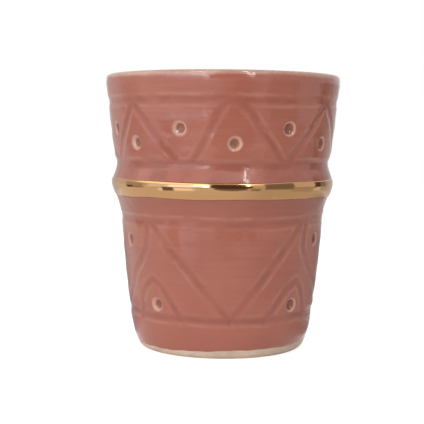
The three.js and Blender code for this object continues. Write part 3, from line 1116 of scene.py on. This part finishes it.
# Cards: colour and strength of each tone
CARD_TONES = {
    "dark": ((0.15, 0.09, 0.08), 1),
    "olive": ((0.26, 0.24, 0.18), 1),
    "brown": ((0.35, 0.33, 0.33), 1),
    "grey": ((0.40, 0.40, 0.42), 1),
    "pale": ((0.70, 0.68, 0.66), 1),
    "shade": ((0.86, 0.85, 0.85), 1),
    "haze": ((0.93, 1, 1), 1.5),
    "light": ((0.72, 0.81, 1), 1.97),
    "day": ((0.85, 0.89, 1), 2.3),
    "cream": ((0.58, 0.74, 1), 3.85),
    "bright": ((0.51, 0.72, 1), 4.6),
    "glare": ((0.6, 0.78, 1), 11),
    "ceiling": ((1, 0.98, 0.94), 2.8),
}
# Name, tone, azimuths of the ends in degrees, distance and height of the low and of the high edge in metres,
# softness of the ends in degrees and of the edges in shares of the width, and how far the low edge bows up
CARDS = (
    ("front_card", "dark", (-11, 27), (0.116, 0.006), (0.116, 0.062), (1, 0.25, 0.05), 0.034),
    ("front_glow_card", "brown", (-8, 24), (0.114, 0.006), (0.114, 0.030), (3, 0.3, 0.3), 0.014),
    ("upper_front_card", "dark", (-13, 25), (0.115, 0.048), (0.115, 0.099), (5, 0.1, 0.1)),
    ("low_front_card", "brown", (24, 36), (0.116, 0.008), (0.116, 0.032), (3, 0.4, 0.4)),
    ("right_card", "brown", (37.5, 68.5), (0.122, 0.018), (0.122, 0.084), (1, 0.1, 0.1)),
    ("low_right_card", "pale", (65, 97), (0.122, 0.002), (0.122, 0.046), (3, 0.3, 0.4)),
    ("square_card", "dark", (95.8, 107.4), (0.122, 0.034), (0.122, 0.080), (1, 0.05, 0.05)),
    ("right_turn_card", "brown", (100, 125), (0.1235, 0.034), (0.1235, 0.080), (12, 0.1, 0.1)),
    ("right_side_card", "pale", (106, 150), (0.124, 0.016), (0.124, 0.082), (3, 0.1, 0.1)),
    ("right_edge_card", "brown", (80, 200), (0.062, 0.0), (0.062, 0.036), (40, 0.02, 0.3)),
    ("right_edge_floor_card", "brown", (50, 179), (0.028, 0.001), (0.078, 0.001), (40, 0.05, 0.5)),
    ("left_card", "olive", (-57, -44), (0.112, 0.001), (0.145, 0.032), (1, 0.2, 0.1)),
    ("far_left_card", "pale", (-104, -77.5), (0.132, 0.020), (0.132, 0.072), (1, 0.1, 0.1)),
    ("far_left_spot_card", "dark", (-104, -92), (0.130, 0.021), (0.130, 0.039), (1, 0.1, 0.2)),
    ("far_left_line_card", "brown", (-92, -77.5), (0.130, 0.019), (0.130, 0.026), (1, 0.2, 0.2)),
    ("far_left_end_card", "pale", (-200, -108), (0.132, 0.012), (0.132, 0.1), (34, 0.1, 0.2)),
    ("left_edge_card", "grey", (-200, -100), (0.062, 0.0), (0.062, 0.034), (30, 0.02, 0.3)),
    ("left_edge_floor_card", "grey", (-179, -80), (0.028, 0.001), (0.078, 0.001), (30, 0.05, 0.5)),
    ("light_card", "light", (-80, -48), (0.300, 0.001), (0.300, 0.115), (6, 0.07, 0.15)),
    ("cream_card", "cream", (-56, -26), (0.299, 0.012), (0.299, 0.115), (6, 0.14, 0.15)),
    ("bright_card", "bright", (-31, -15), (0.298, 0.026), (0.298, 0.115), (1, 0.15, 0.15)),
    ("glare_card", "glare", (-18, -11), (0.297, 0.028), (0.297, 0.115), (1, 0.1, 0.15)),
    ("ring_haze_card", "haze", (-75, 10), (0.060, 0.064), (0.060, 0.079), (18, 0.2, 0.2)),
    ("ceiling_card", "ceiling", (-112, 52), (0.5, 0.15), (0.45, 0.46), (25, 0.15, 0.15)),
    ("left_floor_card", "day", (-66, -22), (0.110, 0.001), (0.235, 0.001), (8, 0.25, 0.1)),
    ("left_shade_card", "grey", (-75, -12), (0.236, 0.001), (0.296, 0.001), (6, 0.1, 0.2)),
    ("left_back_card", "olive", (-62, -47.5), (0.285, 0.001), (0.285, 0.018), (1, 0.05, 0.2)),
    ("right_back_card", "brown", (24, 108), (0.290, 0.001), (0.290, 0.022), (3, 0.05, 0.2)),
    ("right_floor_card", "shade", (5, 175), (0.040, 0.001), (0.200, 0.001), (40, 0.2, 0.2)),
)
CARD_COLUMNS = 49
CARD_ROWS = 17


def add_light(name, watts, size, azimuth, elevation, distance):
    """A soft rectangular light that faces the middle of the cup."""
    light = bpy.data.lights.new(name, "AREA")
    light.shape = "RECTANGLE"
    light.size, light.size_y = size
    light.energy = watts
    lamp = linked(name, light)
    side, up = math.radians(azimuth), math.radians(elevation)
    out = Vector((math.sin(side) * math.cos(up), -math.cos(side) * math.cos(up), math.sin(up)))
    middle = Vector((0, 0, CAD_HIGH.z / 2))
    lamp.location = middle + distance * out
    lamp.rotation_euler = out.to_track_quat("Z", "Y").to_euler()
    lamp.visible_camera = False
    return lamp


def add_card(name, material, azimuths, low, high, soft, bow=0.0):
    """A curved card that shows only in reflections, from a low to a high edge.

    Its cover rises from nought at its ends and its edges. The low edge bows up at its ends by a square.
    """
    degrees = np.linspace(*azimuths, CARD_COLUMNS)[np.newaxis, :]
    way = np.linspace(0, 1, CARD_ROWS)[:, np.newaxis]
    distance = low[0] + (high[0] - low[0]) * way
    low_edge = low[1] + bow * ((2 * degrees - sum(azimuths)) / (azimuths[1] - azimuths[0])) ** 2
    points = placed(distance, np.radians(degrees), low_edge + (high[1] - low_edge) * way)
    index = np.arange(CARD_ROWS * CARD_COLUMNS).reshape(CARD_ROWS, CARD_COLUMNS)
    corners = (index[:-1, :-1], index[:-1, 1:], index[1:, 1:], index[1:, :-1])
    quads = np.stack(corners, axis=-1).reshape(-1, 4)
    across = eased(degrees, azimuths[0], soft[0]) * eased(degrees, azimuths[1], -soft[0])
    cover = across * eased(way, 0, soft[1]) * eased(way, 1, -soft[2])
    mesh = bpy.data.meshes.new(name)
    mesh.from_pydata(points.reshape(-1, 3).tolist(), [], quads.tolist())
    layer = mesh.attributes.new("cover", "FLOAT", "POINT")
    layer.data.foreach_set("value", cover.ravel().astype(np.float32))
    mesh.materials.append(material)
    card = linked(name, mesh)
    card.visible_camera = False
    card.visible_diffuse = False
    card.visible_shadow = False


def card_material(name, tone, strength=1.0):
    """A card of one even brightness, clear where its cover is nought."""
    material = bpy.data.materials.new(name)
    sheet = NodeSheet(material)
    cover = sheet.add("ShaderNodeAttribute", {"attribute_name": "cover"}, output="Fac")
    clear = sheet.add("ShaderNodeBsdfTransparent")
    glow = sheet.add("ShaderNodeEmission", None, {"Color": rgba(tone), "Strength": strength})
    mixed = sheet.add("ShaderNodeMixShader", None, {0: cover, 1: clear, 2: glow})
    sheet.add("ShaderNodeOutputMaterial", None, {"Surface": mixed})
    return material


def seen_straight(sheet):
    """One for a ray from the camera, from a reflection or through glass, nought for the light on the cup."""
    path = sheet.add("ShaderNodeLightPath", output="Is Camera Ray")
    return path.greatest(path.out("Is Glossy Ray")).greatest(path.out("Is Transmission Ray"))


class CUP_OT_stage(CupOperator, Operator):
    """Sets up the floor, the light and the camera"""

    bl_idname = "cup.stage"
    bl_label = "Stage"

    def execute(self, context):
        scene = context.scene
        stage = scene.cup_stage
        scene.view_settings.view_transform = "Standard"
        self.add_floor(stage)
        self.light_room(scene, stage)
        self.add_cards()
        self.aim_camera(scene, stage)
        return {"FINISHED"}

    def add_floor(self, stage):
        """A plain white floor that keeps the cup's shadow."""
        half = stage.floor_size / 2
        corners = [(-half, -half, 0), (half, -half, 0), (half, half, 0), (-half, half, 0)]
        mesh = bpy.data.meshes.new("floor_mesh")
        mesh.from_pydata(corners, [], [(0, 1, 2, 3)])
        material = bpy.data.materials.new("floor_white")
        sheet = NodeSheet(material)
        plain = sheet.add("ShaderNodeBsdfDiffuse", None, {"Color": rgba((FLOOR_GREY,) * 3)})
        shaded = sheet.add("ShaderNodeBsdfDiffuse", None, {"Color": rgba((FLOOR_SHADED,) * 3)})
        glow = sheet.add("ShaderNodeEmission", None, {"Color": rgba(WHITE), "Strength": FLOOR_GLOW})
        white = sheet.add("ShaderNodeAddShader", None, {0: shaded, 1: glow})
        mixed = sheet.add("ShaderNodeMixShader", None, {0: seen_straight(sheet), 1: plain, 2: white})
        sheet.add("ShaderNodeOutputMaterial", None, {"Surface": mixed})
        mesh.materials.append(material)
        linked("floor", mesh)

    def light_room(self, scene, stage):
        """White all round, with a softer level of light on the cup, and soft lights in front and behind."""
        world = bpy.data.worlds.new("white_room")
        sheet = NodeSheet(world)
        lit = stage.room_light
        strength = lit + (1 - lit) * seen_straight(sheet)
        room = sheet.add("ShaderNodeBackground", None, {"Color": rgba(WHITE), "Strength": strength})
        sheet.add("ShaderNodeOutputWorld", None, {"Surface": room})
        scene.world = world
        for name, (setting, *placing, passed_by) in LIGHTS.items():
            lamp = add_light(name, getattr(stage, setting), *placing)
            if passed_by:
                setattr(lamp, passed_by, False)

    def add_cards(self):
        """Dark and bright cards that give the gold and the glaze something to reflect."""
        materials = {tone: card_material(f"card_{tone}", *look) for tone, look in CARD_TONES.items()}
        for name, tone, *form in CARDS:
            add_card(name, materials[tone], *form)

    def aim_camera(self, scene, stage):
        """A level hand-held view from just below the rim."""
        camera = bpy.data.cameras.new("camera")
        camera.lens = stage.lens
        camera.sensor_width = SENSOR_WIDTH
        camera.clip_start = CLIP_START
        view = linked("camera", camera)
        start = Vector((0, -stage.camera_distance, stage.camera_height))
        aim = Vector((stage.aim_side, 0, stage.aim_height))
        looking = (aim - start).to_track_quat("-Z", "Y").to_matrix()
        turned = looking @ Matrix.Rotation(stage.roll, 3, "Z")
        view.matrix_world = Matrix.Translation(start) @ turned.to_4x4()
        scene.camera = view


class CUP_PT_panel(Panel):
    """Lists the cup's pieces and their settings."""

    bl_idname = "CUP_PT_panel"
    bl_label = "Coffee cup"
    bl_space_type = "VIEW_3D"
    bl_region_type = "UI"
    bl_category = "Cup"

    def draw(self, context):
        for operator in OPERATORS:
            self.layout.operator(operator.bl_idname)
        for group in GROUPS:
            settings = getattr(context.scene, group)
            box = self.layout.box()
            box.label(text=settings.bl_rna.name)
            for key in GROUPS[group].__annotations__:
                box.prop(settings, key)


GROUPS = {"cup_shape": CupShape, "cup_cuts": CupCuts, "cup_finish": CupFinish, "cup_stage": CupStage}
OPERATORS = (CUP_OT_clay_body, CUP_OT_outer_glaze, CUP_OT_inner_glaze, CUP_OT_gold_band, CUP_OT_stage)
CLASSES = (*GROUPS.values(), *OPERATORS, CUP_PT_panel)


def register():
    """Adds the classes and the settings."""
    for one in CLASSES:
        bpy.utils.register_class(one)
    for name, group in GROUPS.items():
        setattr(bpy.types.Scene, name, PointerProperty(type=group))


def unregister():
    """Takes the settings and the classes away."""
    for name in GROUPS:
        delattr(bpy.types.Scene, name)
    for one in reversed(CLASSES):
        bpy.utils.unregister_class(one)


def main():
    """Registers the add-on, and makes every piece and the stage."""
    register()
    bpy.ops.cup.clay_body()
    bpy.ops.cup.outer_glaze()
    bpy.ops.cup.inner_glaze()
    bpy.ops.cup.gold_band()
    bpy.ops.cup.stage()


if __name__ == "__main__":
    main()
